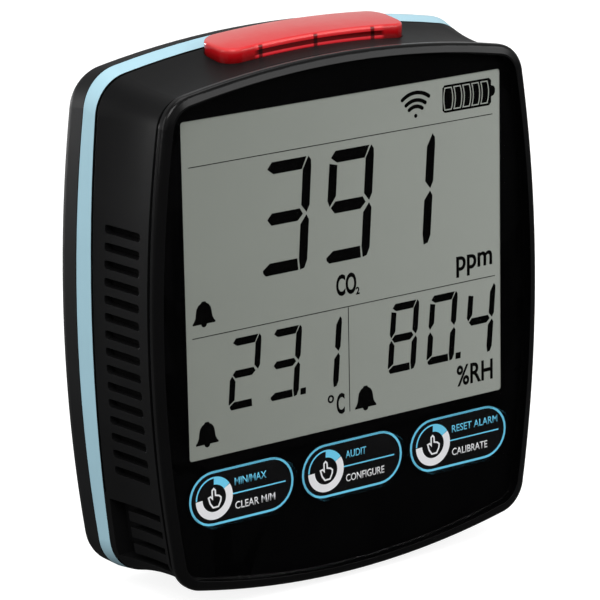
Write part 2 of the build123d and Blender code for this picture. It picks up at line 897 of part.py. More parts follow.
with BuildPart() as battery_door:
    add(rear_body.part)
    with BuildSketch(layer(0)):
        with Locations((0, (door_top_z + bottom_reach) / 2)):
            Rectangle(2 * door_half_width, door_top_z - bottom_reach)
    extrude(amount=door_thickness, mode=Mode.INTERSECT)
    with BuildSketch(layer(door_tongue_rear)):
        add(outline(*rear_back_size, tongue_end_inset))
        with Locations((0, (door_top_z + bottom_reach) / 2)):
            Rectangle(
                2 * (door_half_width + door_tongue),
                door_top_z - bottom_reach,
                mode=Mode.INTERSECT,
            )
    extrude(amount=door_thickness - door_tongue_rear)
    with BuildSketch(layer(0)):
        with Locations((0, grip_centre_z)):
            with GridLocations(grip_pitch, grip_pitch, 1, grip_count):
                SlotOverall(grip_width, grip_height)
    extrude(amount=grip_sink, mode=Mode.SUBTRACT)
finish(battery_door.part, "battery_door")


# ---------------------------------------------------------------- battery tray, contacts and cells
contact_thickness = 0.35
contact_width = 11.0
contact_height = 10.0
spring_radius = 3.6
spring_wire = 0.3
spring_turns = 3
saddle_thickness = 0.9
saddle_height = 4.2
tray_inner_top_z = tray_top_z - tray_wall
tray_inner_bottom_z = tray_bottom_z + tray_wall
contact_top_z = tray_inner_top_z - contact_thickness
contact_bottom_z = tray_inner_bottom_z + contact_thickness
cell_total_length = cell_body_length + cell_nub_length
spring_space = contact_top_z - contact_bottom_z - cell_total_length
cell_spots_x = [(index - (cell_count - 1) / 2) * cell_pitch for index in range(cell_count)]

with BuildPart() as battery_tray:
    add(
        slab(
            (-tray_half_width, tray_half_width),
            (tray_rear, tray_front),
            (tray_bottom_z, tray_top_z),
        )
    )
    add(
        slab(
            (-tray_half_width + tray_wall, tray_half_width - tray_wall),
            (tray_rear - 1.0, tray_front - tray_wall),
            (tray_inner_bottom_z, tray_inner_top_z),
        ),
        mode=Mode.SUBTRACT,
    )
    for index in range(cell_count - 1):
        saddle_x = cell_spots_x[index] + cell_pitch / 2
        for saddle_z in (tray_bottom_z + 15.0, tray_top_z - 15.0):
            with Locations((saddle_x, -(tray_front - tray_wall), saddle_z)):
                Box(
                    saddle_thickness,
                    saddle_height,
                    6.0,
                    align=(Align.CENTER, Align.MIN, Align.CENTER),
                )
finish(battery_tray.part, "battery_tray")

for index, cell_x in enumerate(cell_spots_x):
    nub_up = index % 2 == 0
    body_foot_z = contact_bottom_z + (spring_space if nub_up else cell_nub_length)
    nub_foot_z = body_foot_z + cell_body_length if nub_up else contact_bottom_z
    with BuildPart() as battery:
        with Locations((cell_x, -cell_depth, body_foot_z)):
            Cylinder(cell_radius, cell_body_length, align=(Align.CENTER, Align.CENTER, Align.MIN))
        fillet(battery.edges(), 0.5)
        with Locations((cell_x, -cell_depth, nub_foot_z)):
            Cylinder(cell_nub_radius, cell_nub_length, align=(Align.CENTER, Align.CENTER, Align.MIN))
    finish(battery.part, f"battery_{index + 1}")

with BuildPart() as battery_contacts:
    for plate_z in (tray_inner_top_z, contact_bottom_z):
        for cell_x in cell_spots_x:
            with Locations((cell_x, -cell_depth, plate_z)):
                Box(
                    contact_width,
                    contact_height,
                    contact_thickness,
                    align=(Align.CENTER, Align.CENTER, Align.MAX),
                )
finish(battery_contacts.part, "battery_contacts")

spring_height = spring_space - 2 * spring_wire
with BuildPart() as battery_springs:
    for index, cell_x in enumerate(cell_spots_x):
        spring_foot_z = contact_bottom_z if index % 2 == 0 else contact_top_z - spring_space
        spring_foot_z = spring_foot_z + spring_wire
        with BuildLine() as coil:
            Helix(
                spring_height / spring_turns,
                spring_height,
                spring_radius,
                center=(cell_x, -cell_depth, spring_foot_z),
            )
        with BuildSketch(Plane(coil.line @ 0, z_dir=coil.line % 0)):
            Circle(spring_wire)
        sweep(path=coil.line, is_frenet=True)
finish(battery_springs.part, "battery_springs")


# ---------------------------------------------------------------- screws
screw_cross_width = 0.7
screw_cross_reach = 2.6
screw_cross_depth = 1.1

with BuildPart() as case_screws:
    with BuildSketch(layer(counterbore_depth)):
        with Locations(*post_spots):
            Circle(head_radius)
    extrude(amount=-head_height)
    with BuildSketch(layer(counterbore_depth)):
        with Locations(*post_spots):
            Circle(screw_radius)
    extrude(amount=band_front + pilot_depth - counterbore_depth)
    with BuildSketch(layer(counterbore_depth - head_height)):
        with Locations(*post_spots):
            Rectangle(screw_cross_reach, screw_cross_width)
            Rectangle(screw_cross_width, screw_cross_reach)
    extrude(amount=screw_cross_depth, mode=Mode.SUBTRACT)
finish(case_screws.part, "case_screws")

with BuildPart() as board_screws:
    with BuildSketch(layer(board_front)):
        with Locations(*post_spots):
            Circle(head_radius)
    extrude(amount=head_height)
    with BuildSketch(layer(board_rear - pilot_depth)):
        with Locations(*post_spots):
            Circle(screw_radius)
    extrude(amount=board_front - board_rear + pilot_depth)
    with BuildSketch(layer(board_front + head_height)):
        with Locations(*post_spots):
            Rectangle(screw_cross_reach, screw_cross_width)
            Rectangle(screw_cross_width, screw_cross_reach)
    extrude(amount=-screw_cross_depth, mode=Mode.SUBTRACT)
finish(board_screws.part, "board_screws")
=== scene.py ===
"""Looks of the wall-hung carbon dioxide monitor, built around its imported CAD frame."""

import math

import bmesh
import bpy
from mathutils import Matrix, Vector


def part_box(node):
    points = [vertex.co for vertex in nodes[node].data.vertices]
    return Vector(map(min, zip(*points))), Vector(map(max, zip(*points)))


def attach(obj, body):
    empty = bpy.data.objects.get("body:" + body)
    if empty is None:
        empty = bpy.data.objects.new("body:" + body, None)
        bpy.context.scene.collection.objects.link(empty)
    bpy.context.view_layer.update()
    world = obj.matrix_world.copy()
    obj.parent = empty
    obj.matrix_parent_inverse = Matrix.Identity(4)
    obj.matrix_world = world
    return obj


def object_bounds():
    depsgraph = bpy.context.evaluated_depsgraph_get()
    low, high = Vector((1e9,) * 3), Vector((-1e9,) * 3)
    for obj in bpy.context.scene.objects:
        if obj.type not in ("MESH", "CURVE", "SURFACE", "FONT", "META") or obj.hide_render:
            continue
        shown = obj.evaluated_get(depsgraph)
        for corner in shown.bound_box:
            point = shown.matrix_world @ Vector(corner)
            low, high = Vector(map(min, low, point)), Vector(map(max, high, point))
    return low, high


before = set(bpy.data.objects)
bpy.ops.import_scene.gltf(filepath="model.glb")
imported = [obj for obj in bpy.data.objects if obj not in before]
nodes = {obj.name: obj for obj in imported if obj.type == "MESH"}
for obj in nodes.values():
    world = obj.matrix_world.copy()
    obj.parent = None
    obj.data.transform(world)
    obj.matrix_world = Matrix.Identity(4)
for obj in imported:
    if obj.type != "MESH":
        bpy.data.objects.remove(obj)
cad_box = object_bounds()

MM = 0.001
CASE = "case"
KEYS = ("left", "middle", "right")

# ---------------------------------------------------------------- camera
CAMERA_AZIMUTH = -35.477
CAMERA_ELEVATION = 15.334
CAMERA_ROLL = -1.134
CAMERA_DISTANCE = 0.8895
CAMERA_FOCAL = 209.4
AIM_LEFT = 0.01208
AIM_DOWN = 0.00973
display_low, display_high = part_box("lcd_front_glass")
DISPLAY_FACE_Y = display_low.y
AIM_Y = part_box("window_mask")[1].y
AIM_Z = (display_low.z + display_high.z) / 2


def add_camera():
    """Camera at the photograph's angle, aimed a little to the left of and below the display's centre."""
    azimuth = math.radians(CAMERA_AZIMUTH)
    elevation = math.radians(CAMERA_ELEVATION)
    back = Vector(
        (
            math.sin(azimuth) * math.cos(elevation),
            -math.cos(azimuth) * math.cos(elevation),
            math.sin(elevation),
        )
    )
    level = Vector((0, 0, 1)).cross(back).normalized()
    turn = Matrix.Rotation(math.radians(CAMERA_ROLL), 3, back)
    right = turn @ level
    up = back.cross(right)
    place = Vector((0, AIM_Y, AIM_Z)) + back * CAMERA_DISTANCE - right * AIM_LEFT - up * AIM_DOWN
    data = bpy.data.cameras.new("camera")
    data.lens = CAMERA_FOCAL
    data.sensor_width = 36.0
    camera = bpy.data.objects.new("camera", data)
    camera.matrix_world = Matrix.Translation(place) @ Matrix((right, up, back)).transposed().to_4x4()
    bpy.context.scene.collection.objects.link(camera)
    bpy.context.scene.camera = camera


add_camera()


# ---------------------------------------------------------------- material helpers
# the two ends of a mask
NONE = (0.0, 0.0, 0.0)
FULL = (1.0, 1.0, 1.0)
# the colour sockets of a Mix node, which share their names with its other sockets
MIX_FIRST = 6
MIX_SECOND = 7
MIX_RESULT = 2


def new_material(name):
    """Node material with a Principled shader; returns the material, its tree and the shader."""
    material = bpy.data.materials.new(name)
    material.use_nodes = True
    tree = material.node_tree
    return material, tree, tree.nodes["Principled BSDF"]


def add_node(tree, kind, **values):
    """Node of a kind, with its attributes and its sockets set by name."""
    made = tree.nodes.new(kind)
    for key, value in values.items():
        if hasattr(made, key):
            setattr(made, key, value)
        else:
            made.inputs[key.replace("_", " ")].default_value = value
    return made


def link(tree, source, output, target, socket):
    """Join an output of one node to a socket of another."""
    tree.links.new(source.outputs[output], target.inputs[socket])


def object_coordinates(tree):
    """Texture coordinates in metres, fixed to the piece."""
    return add_node(tree, "ShaderNodeTexCoord")


def noise(tree, coordinates, scale, detail=3.0, roughness=0.55):
    """Noise with this many features per metre."""
    made = add_node(tree, "ShaderNodeTexNoise", Scale=scale, Detail=detail, Roughness=roughness)
    link(tree, coordinates, "Object", made, "Vector")
    return made


def ramp(tree, source, output, stops):
    """Colour ramp on a value; stops are pairs of position and colour."""
    made = tree.nodes.new("ShaderNodeValToRGB")
    elements = made.color_ramp.elements
    while len(elements) < len(stops):
        elements.new(0.5)
    for element, (position, colour) in zip(elements, stops):
        element.position = position
        element.color = (*colour, 1.0)
    link(tree, source, output, made, "Fac")
    return made


def spread(tree, source, output, low, high):
    """Value mapped from 0..1 onto low..high."""
    made = add_node(tree, "ShaderNodeMapRange")
    made.inputs["To Min"].default_value = low
    made.inputs["To Max"].default_value = high
    link(tree, source, output, made, "Value")
    return made


def shade(colour, factor):
    """Colour made lighter or darker."""
    return tuple(min(1.0, channel * factor) for channel in colour)


def maths(tree, operation, first, second=0.0):
    """Arithmetic on two values; each is a number or a pair of node and output."""
    made = add_node(tree, "ShaderNodeMath", operation=operation)
    for index, value in enumerate((first, second)):
        if isinstance(value, tuple):
            link(tree, value[0], value[1], made, index)
        else:
            made.inputs[index].default_value = value
    return (made, "Value")


def components(tree, source, output):
    """The x, y and z of a vector, as the outputs of one node."""
    made = add_node(tree, "ShaderNodeSeparateXYZ")
    link(tree, source, output, made, "Vector")
    return made


def share_of(tree, source, output, low, high):
    """How far a value lies along low..high, from 0 to 1."""
    made = add_node(tree, "ShaderNodeMapRange")
    made.inputs["From Min"].default_value = low
    made.inputs["From Max"].default_value = high
    link(tree, source, output, made, "Value")
    return made


def blend(tree, factor, first, second):
    """Colour mixed from first to second; each is a pair of node and output, or a plain colour."""
    made = add_node(tree, "ShaderNodeMix", data_type="RGBA")
    link(tree, *factor, made, "Factor")
    for socket, value in ((MIX_FIRST, first), (MIX_SECOND, second)):
        if isinstance(value[0], float):
            made.inputs[socket].default_value = (*value, 1.0)
        else:
            link(tree, *value, made, socket)
    return (made, MIX_RESULT)


def moulded(name, colour, roughness, specular=0.3, grain=0.35, depth=0.02, mottle=0.12, edge=0.2):
    """Moulded plastic or ink: grain and edge softening in millimetres, uneven gloss, faint mottling."""
    material, tree, shader = new_material(name)
    place = object_coordinates(tree)
    fine = noise(tree, place, 1.0 / (grain * MM), detail=4.0)
    broad = noise(tree, place, 60.0, detail=5.0)
    tint = ramp(
        tree,
        broad,
        "Fac",
        [(0.3, shade(colour, 1.0 - mottle)), (0.7, shade(colour, 1.0 + mottle))],
    )
    link(tree, tint, "Color", shader, "Base Color")
    gloss = spread(tree, broad, "Fac", max(0.02, roughness - 0.06), roughness + 0.06)
    link(tree, gloss, "Result", shader, "Roughness")
    bump = add_node(tree, "ShaderNodeBump", Strength=0.6)
    bump.inputs["Distance"].default_value = depth * MM
    link(tree, fine, "Fac", bump, "Height")
    if edge:
        soft = add_node(tree, "ShaderNodeBevel", samples=4)
        soft.inputs["Radius"].default_value = edge * MM
        link(tree, soft, "Normal", bump, "Normal")
    link(tree, bump, "Normal", shader, "Normal")
    shader.inputs["Specular IOR Level"].default_value = specular
    return material


def clear_sheet(name, tint, opacity, grazing, specular):
    """Clear plastic or glass: nearly see-through from the front, a glossy mirror at a grazing angle."""
    material, tree, shader = new_material(name)
    place = object_coordinates(tree)
    haze = noise(tree, place, 45.0, detail=6.0)
    rub = spread(tree, haze, "Fac", 0.02, 0.06)
    link(tree, rub, "Result", shader, "Roughness")
    glance = add_node(tree, "ShaderNodeLayerWeight", Blend=0.5)
    rim = maths(tree, "POWER", (glance, "Facing"), 4.0)
    alpha = spread(tree, *rim, opacity, grazing)
    link(tree, alpha, "Result", shader, "Alpha")
    colour = ramp(tree, haze, "Fac", [(0.35, shade(tint, 0.9)), (0.65, tint)])
    link(tree, colour, "Color", shader, "Base Color")
    shader.inputs["Specular IOR Level"].default_value = specular
    return material


def metal(name, colour, roughness, scratch=900.0):
    """Plated metal with fine drawn lines."""
    material, tree, shader = new_material(name)
    place = object_coordinates(tree)
    stretch = add_node(tree, "ShaderNodeMapping")
    stretch.inputs["Scale"].default_value = (0.15, 1.0, 1.0)
    link(tree, place, "Object", stretch, "Vector")
    lines = add_node(tree, "ShaderNodeTexNoise", Scale=scratch, Detail=5.0)
    link(tree, stretch, "Vector", lines, "Vector")
    tint = ramp(tree, lines, "Fac", [(0.3, shade(colour, 0.8)), (0.7, colour)])
    link(tree, tint, "Color", shader, "Base Color")
    gloss = spread(tree, lines, "Fac", roughness * 0.7, roughness * 1.3)
    link(tree, gloss, "Result", shader, "Roughness")
    shader.inputs["Metallic"].default_value = 1.0
    bump = add_node(tree, "ShaderNodeBump", Strength=0.3)
    bump.inputs["Distance"].default_value = 0.01 * MM
    link(tree, lines, "Fac", bump, "Height")
    link(tree, bump, "Normal", shader, "Normal")
    return material


def dress(material, *names):
    """Give CAD nodes a material."""
    for name in names:
        slots = nodes[name].material_slots
        for slot in slots:
            slot.link = "OBJECT"
            slot.material = material


# ---------------------------------------------------------------- materials
shell_black = moulded("shell_black", (0.0045, 0.0045, 0.0047), 0.45, specular=0.06, grain=0.4, depth=0.03)
shell_charcoal = moulded(
    "shell_charcoal", (0.0068, 0.0071, 0.0075),
    0.5, specular=0.04, grain=0.4, depth=0.03,
)
bezel_black = moulded(
    "bezel_black", (0.0012, 0.0012, 0.0013),
    0.2, specular=0.18, grain=0.8, depth=0.002, edge=0.15,
)
film_black = moulded(
    "film_black", (0.0008, 0.0008, 0.0009),
    0.5, specular=0.02, grain=0.6, depth=0.002, mottle=0.3,
)
rubber_black = moulded(
    "rubber_black", (0.0015, 0.0015, 0.0018),
    0.6, specular=0.1, grain=0.3, depth=0.01, mottle=0.3,
)
resin_black = moulded("resin_black", (0.016, 0.016, 0.017), 0.45, grain=0.2, depth=0.02)
plastic_white = moulded("plastic_white", (0.66, 0.65, 0.6), 0.4, grain=0.5, depth=0.01, mottle=0.04)
board_green = moulded(
    "board_green", (0.012, 0.11, 0.04),
    0.3, specular=0.5, grain=0.9, depth=0.01, mottle=0.25,
)
mesh_grey = moulded(
    "mesh_grey", (0.0022, 0.0022, 0.0022),
    0.8, specular=0.03, grain=0.5, depth=0.1, mottle=0.5,
)
membrane_white = moulded("membrane_white", (0.7, 0.7, 0.66), 0.8, specular=0.1, grain=0.2, depth=0.03)
steel = metal("steel", (0.62, 0.62, 0.6), 0.3)
gold = metal("gold", (0.85, 0.6, 0.22), 0.25)
window_clear = clear_sheet("window_clear", (0.002, 0.002, 0.002), 0.02, 0.4, 0.05)
glass_clear = clear_sheet("glass_clear", (0.1, 0.1, 0.1), 0.01, 0.4, 0.5)


def display_grey_painted_light():
    """Face of the display: grey-green with a painted light gradient, lighter towards the right, and a very
    fine speckle.
    """
    material, tree, shader = new_material("display_grey_painted_light")
    place = object_coordinates(tree)
    split = components(tree, place, "Object")
    across = share_of(tree, split, "X", display_low.x, display_high.x)
    # painted light: the face lighter towards its right side
    tint = ramp(tree, across, "Result", [(0.0, (0.235, 0.252, 0.225)), (1.0, (0.315, 0.335, 0.305))])
    speckle = noise(tree, place, 4000.0, detail=2.0)
    cloud = noise(tree, place, 30.0, detail=2.0)
    grain = spread(tree, speckle, "Fac", 0.94, 1.06)
    drift = spread(tree, cloud, "Fac", 0.96, 1.04)
    mixed = add_node(tree, "ShaderNodeVectorMath", operation="MULTIPLY")
    link(tree, tint, "Color", mixed, 0)
    both = maths(tree, "MULTIPLY", (grain, "Result"), (drift, "Result"))
    link(tree, *both, mixed, 1)
    link(tree, mixed, "Vector", shader, "Base Color")
    shader.inputs["Roughness"].default_value = 0.6
    shader.inputs["Specular IOR Level"].default_value = 0.1
    return material


# width of the painted shade on the trim band's step, then the beacon's arched top, front face and ribs,
# which place the beacon's painted light and shade
BAND_SHADE_WIDTH = 0.3 * MM
BEACON_ARC = 300.0 * MM
BEACON_LEAN = math.tan(math.radians(7.3))
BEACON_FACE = 3.6 * MM
BEACON_RIBS = (-18.0, -1.0, 17.0)
RIB_REACH = 2.0 * MM


def beacon_ribs(tree, split):
    """Mask of the ribs across the painted cavity shade, darker on each rib."""
    nearest = 1.0
    for rib_x in BEACON_RIBS:
        away = maths(tree, "ABSOLUTE", maths(tree, "SUBTRACT", (split, "X"), rib_x * MM))
        nearest = maths(tree, "MINIMUM", away, nearest)
    reach = maths(tree, "MULTIPLY", nearest, 1.0 / RIB_REACH)
    return ramp(tree, *reach, [(0.2, (0.2, 0.2, 0.2)), (0.4, FULL)])


def beacon_front_painted_light(tree, split, low, high):
    """Front of the beacon with painted light and shade: a painted highlight at its top edge, the dark
    cavity behind the lens painted on as shade with its ribs and a painted lit ledge below it, then darker
    towards the bottom; the rounded ends have no cavity band and are painted lighter at the top and darker
    towards the bottom.
    """
    centre = (low + high) / 2
    # how far each point lies below the arched and leaning top, as a share of the front face
    across = maths(tree, "SUBTRACT", (split, "X"), centre.x)
    arch = maths(tree, "DIVIDE", maths(tree, "MULTIPLY", across, across), 2 * BEACON_ARC)
    lean = maths(tree, "MULTIPLY", maths(tree, "SUBTRACT", high.y, (split, "Y")), BEACON_LEAN)
    crown = maths(tree, "SUBTRACT", maths(tree, "SUBTRACT", high.z, arch), lean)
    below = maths(tree, "DIVIDE", maths(tree, "SUBTRACT", crown, (split, "Z")), BEACON_FACE)
    # painted light and shade down the front: a highlight at the top edge, the cavity seen through the lens
    # as dark shade, a lit ledge under it, then shade towards the bottom
    cavity_painted_shade = ramp(
        tree,
        *below,
        [
            (0.0, (0.85, 0.16, 0.15)), (0.1, (0.72, 0.035, 0.04)), (0.27, (0.6, 0.02, 0.025)),
            (0.33, (0.07, 0.0005, 0.001)), (0.62, (0.1, 0.0005, 0.001)), (0.68, (0.75, 0.04, 0.05)),
            (0.78, (0.62, 0.02, 0.03)), (0.86, (0.3, 0.002, 0.006)), (1.0, (0.16, 0.001, 0.003)),
        ],
    )
    ribbed_painted_shade = add_node(tree, "ShaderNodeVectorMath", operation="MULTIPLY")
    link(tree, cavity_painted_shade, "Color", ribbed_painted_shade, 0)
    link(tree, beacon_ribs(tree, split), "Color", ribbed_painted_shade, 1)
    # painted shade on the rounded ends: lighter at the top, darker towards the bottom
    ends_painted_shade = ramp(
        tree,
        *below,
        [
            (0.0, (0.6, 0.05, 0.05)), (0.3, (0.4, 0.005, 0.008)),
            (0.7, (0.18, 0.001, 0.002)), (1.0, (0.08, 0.0005, 0.001)),
        ],
    )
    outward = maths(tree, "DIVIDE", maths(tree, "ABSOLUTE", across), high.x - centre.x)
    ends = ramp(tree, *outward, [(0.66, NONE), (0.7, FULL)])
    return blend(tree, (ends, "Color"), (ribbed_painted_shade, "Vector"), (ends_painted_shade, "Color"))


def beacon_top_painted_highlight(tree, split, cloud, low, high):
    """Top of the beacon with a painted highlight: pale pink towards its back edge, more saturated towards
    its front edge.
    """
    reach = share_of(tree, split, "Y", low.y, high.y)
    drift = maths(tree, "MULTIPLY", maths(tree, "SUBTRACT", (cloud, "Fac"), 0.5), 0.5)
    stirred = maths(tree, "ADD", (reach, "Result"), drift)
    # painted highlight across the top, paler towards the back
    return ramp(
        tree,
        *stirred,
        [
            (0.0, (0.6, 0.012, 0.016)), (0.35, (0.56, 0.05, 0.05)),
            (0.8, (0.54, 0.12, 0.115)), (1.0, (0.56, 0.18, 0.17)),
        ],
    )


def beacon_red():
    """Red translucent plastic with painted light and shade: a pale painted highlight where the top catches
    light, and the dark cavity behind the front painted on as shade.
    """
    material, tree, shader = new_material("beacon_red")
    place = object_coordinates(tree)
    split = components(tree, place, "Object")
    cloud = noise(tree, place, 90.0, detail=3.0)
    low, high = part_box("beacon_lens")
    front = beacon_front_painted_light(tree, split, low, high)
    top = beacon_top_painted_highlight(tree, split, cloud, low, high)
    shape = add_node(tree, "ShaderNodeNewGeometry")
    aim = components(tree, shape, "Normal")
    # surfaces facing up take the painted highlight of the top, the rest the front's painted light and shade
    top_highlight_mask = ramp(tree, aim, "Z", [(0.45, NONE), (0.85, FULL)])
    mixed = blend(tree, (top_highlight_mask, "Color"), front, (top, "Color"))
    link(tree, *mixed, shader, "Base Color")
    rub = spread(tree, cloud, "Fac", 0.08, 0.14)
    link(tree, rub, "Result", shader, "Roughness")
    shader.inputs["Transmission Weight"].default_value = 0.05
    shader.inputs["IOR"].default_value = 1.49
    shader.inputs["Specular IOR Level"].default_value = 0.2
    shader.inputs["Coat Weight"].default_value = 0.05
    shader.inputs["Coat Roughness"].default_value = 0.05
    return material


def band_with_painted_shade():
    """Pale blue trim, with painted shade on the narrow step beside the front shell."""
    material = moulded("band_blue", (0.33, 0.52, 0.60), 0.42, grain=0.5, depth=0.015, mottle=0.03)
    tree = material.node_tree
    shader = tree.nodes["Principled BSDF"]
    paint = shader.inputs["Base Color"].links[0].from_node
    split = components(tree, object_coordinates(tree), "Object")
    # painted shade: near-black on the narrow step next to the front shell, where shade falls in the gap
    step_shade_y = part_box("trim_band")[0].y + BAND_SHADE_WIDTH
    in_step_shade = maths(tree, "LESS_THAN", (split, "Y"), step_shade_y)
    mixed = blend(tree, in_step_shade, (paint, "Color"), (0.001, 0.001, 0.001))
    link(tree, *mixed, shader, "Base Color")
    return material


def cell_jacket():
    """Battery wrap: slate blue with a pale grey band near one end, and bare metal faces."""
    material, tree, shader = new_material("cell_jacket")
    place = object_coordinates(tree)
    split = components(tree, place, "Object")
    low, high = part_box("battery_1")
    height = share_of(tree, split, "Z", low.z, high.z)
    wrap = ramp(tree, height, "Result", [(0.86, (0.06, 0.11, 0.17)), (0.865, (0.5, 0.52, 0.53))])
    shape = add_node(tree, "ShaderNodeNewGeometry")
    aim = components(tree, shape, "Normal")
    flat = maths(tree, "GREATER_THAN", maths(tree, "ABSOLUTE", (aim, "Z")), 0.6)
    mixed = blend(tree, flat, (wrap, "Color"), (0.6, 0.6, 0.58))
    link(tree, *mixed, shader, "Base Color")
    link(tree, *flat, shader, "Metallic")
    scuff = noise(tree, place, 700.0, detail=4.0)
    rub = spread(tree, scuff, "Fac", 0.22, 0.38)
    link(tree, rub, "Result", shader, "Roughness")
    return material


display_face = display_grey_painted_light()
lens_red = beacon_red()
ink_black = moulded(
    "ink_black", (0.0009, 0.0009, 0.0009),
    0.5, specular=0.02, grain=0.6, depth=0.001, mottle=0.3, edge=0.0,
)
ink_cyan = moulded(
    "ink_cyan", (0.16, 0.60, 0.84),
    0.5, specular=0.1, grain=0.3, depth=0.002, mottle=0.08, edge=0.0,
)
ink_white = moulded(
    "ink_white", (0.80, 0.80, 0.82),
    0.5, specular=0.1, grain=0.3, depth=0.002, mottle=0.04, edge=0.0,
)

dress(shell_black, "front_shell", "sensor_louvre")
dress(shell_charcoal, "rear_shell", "battery_door", "battery_tray")
dress(bezel_black, "bezel_frame")
dress(window_clear, "display_window", *[f"key_cap_{side}" for side in KEYS])
dress(film_black, "window_mask")
dress(band_with_painted_shade(), "trim_band")
dress(lens_red, "beacon_lens")
dress(glass_clear, "lcd_rear_glass")
dress(display_face, "lcd_front_glass", "lcd_reflector")
dress(plastic_white, "lcd_frame", "beacon_leds", *[f"switch_plunger_{side}" for side in KEYS])
dress(rubber_black, "zebra_strip", *[f"key_carrier_{side}" for side in KEYS])
dress(board_green, "main_board", "lamp_board", "co2_sensor_board", "humidity_sensor_board")
dress(resin_black, "processor_chip", "key_switches", "sounder", "humidity_sensor_chip")
dress(steel, "radio_module", "power_socket", "battery_contacts", "battery_springs")
dress(steel, "case_screws", "board_screws")
dress(gold, "co2_sensor_chamber", "co2_sensor_pins")
dress(membrane_white, "co2_sensor_membrane")
dress(mesh_grey, "vent_filters")
dress(cell_jacket(), *[f"battery_{number}" for number in range(1, 5)])


# ---------------------------------------------------------------- flat printed shapes
def thicken(mesh, thickness):
    """Give flat faces a thickness in millimetres towards the reader."""
    bmesh.ops.remove_doubles(mesh, verts=mesh.verts, dist=1e-6)
    grown = bmesh.ops.extrude_face_region(mesh, geom=mesh.faces[:])
    moved = [item for item in grown["geom"] if isinstance(item, bmesh.types.BMVert)]
    bmesh.ops.translate(mesh, verts=moved, vec=(0, -thickness * MM, 0))
    bmesh.ops.recalc_face_normals(mesh, faces=mesh.faces)


def relief(name, faces, rear_y, thickness, body, material):
    """Thin raised shapes facing the reader: each face is a list of (x, z) points in millimetres."""
    mesh = bmesh.new()
    for face in faces:
        mesh.faces.new([mesh.verts.new((x * MM, rear_y, z * MM)) for x, z in face])
    thicken(mesh, thickness)
    data = bpy.data.meshes.new(name)
    mesh.to_mesh(data)
    mesh.free()
    data.materials.append(material)
    piece = bpy.data.objects.new(name, data)
    bpy.context.scene.collection.objects.link(piece)
    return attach(piece, body)


def ribbon(points, width, closed=False):
    """Quads of even width along a line of points, mitred at the corners."""
    path = [Vector(point) for point in points]
    count = len(path)
    sides = []
    for index in range(count):
        before = path[index - 1] if closed or index else path[index]
        after = path[(index + 1) % count] if closed or index < count - 1 else path[index]
        leading = (after - path[index]).normalized() if (after - path[index]).length else None
        trailing = (path[index] - before).normalized() if (path[index] - before).length else None
        leading = leading or trailing
        trailing = trailing or leading
        mean = (leading + trailing).normalized()
        normal = Vector((-mean.y, mean.x))
        reach = width / 2 / max(0.4, mean.dot(leading))
        sides.append((path[index] + normal * reach, path[index] - normal * reach))
    last = count if closed else count - 1
    quads = []
    for index in range(last):
        near = sides[index]
        far = sides[(index + 1) % count]
        quads.append([near[0], far[0], far[1], near[1]])
    return quads


def arc(centre, radius, start, end, count=16):
    """Points on an arc, angles in degrees counter-clockwise from the right."""
    points = []
    for index in range(count + 1):
        angle = math.radians(start + (end - start) * index / count)
        points.append((centre[0] + radius * math.cos(angle), centre[1] + radius * math.sin(angle)))
    return points


def disc(centre, radius, count=20):
    """Round filled shape."""
    return arc(centre, radius, 0, 360 * (count - 1) / count, count - 1)


def pill(centre, width, height, inset=0.0, count=14):
    """Outline of a pill, moved in by inset."""
    radius = height / 2 - inset
    reach = width / 2 - height / 2
    right = arc((centre[0] + reach, centre[1]), radius, -90, 90, count)
    left = arc((centre[0] - reach, centre[1]), radius, 90, 270, count)
    return right + left


# ---------------------------------------------------------------- digits of the display
SEGMENTS = {
    "0": "abcdef", "1": "bc", "2": "abged", "3": "abgcd", "4": "fgbc", "5": "afgcd",
    "6": "afgedc", "7": "abc", "8": "abcdefg", "9": "abcdfg",
}


def digit(figure, left, bottom, width, height, bar, post, gap, slant):
    """Faces of one seven-segment figure, leaning to the right."""
    middle = height / 2 - bar * 0.05
    tip = bar * 0.5
    shapes = {
        "a": [
            (gap, height - bar * 0.55), (post * 0.7, height), (width - post * 0.62, height),
            (width - post * 1.12, height - bar), (post * 0.95, height - bar),
        ],
        "b": [
            (width - post * 0.38, height), (width - post * 0.06, height - bar * 0.35),
            (width, height - bar * 0.9), (width, middle + tip * 1.35),
            (width - post * 0.33, middle + gap * 0.6),
            (width - post, middle + tip * 1.5), (width - post, height - bar * 1.05),
        ],
        "c": [
            (width - post * 0.33, middle - gap * 0.6), (width, middle - tip * 1.1), (width, bar * 0.75),
            (width - post * 0.3, bar * 0.1), (width - post * 0.8, 0), (width - post, bar * 0.95),
            (width - post, middle - tip * 1.7),
        ],
        "d": [
            (gap * 0.9, bar * 0.5), (post * 0.95, bar), (width - post * 1.2, bar), (width - post * 1.02, 0),
            (post * 0.55, 0), (gap * 1.2, bar * 0.25),
        ],
        "e": [
            (post * 0.36, middle - gap * 0.8), (0, middle - tip * 1.3),
            (0, bar * 0.85), (gap * 0.3, bar * 0.7),
            (post, bar * 1.25), (post, middle - tip * 1.8),
        ],
        "f": [
            (gap * 0.2, height - bar * 1.0), (post, height - bar * 1.2), (post, middle + tip * 1.9),
            (post * 0.3, middle + gap * 0.8), (0, middle + tip * 1.3),
        ],
        "g": [
            (post * 0.45, middle), (post * 0.95, middle + tip), (width - post * 1.15, middle + tip),
            (width - post * 0.75, middle), (width - post * 1.35, middle - tip), (post * 0.95, middle - tip),
        ],
    }
    faces = []
    for segment in SEGMENTS[figure]:
        faces.append([(left + u + slant * v, bottom + v) for u, v in shapes[segment]])
    return faces


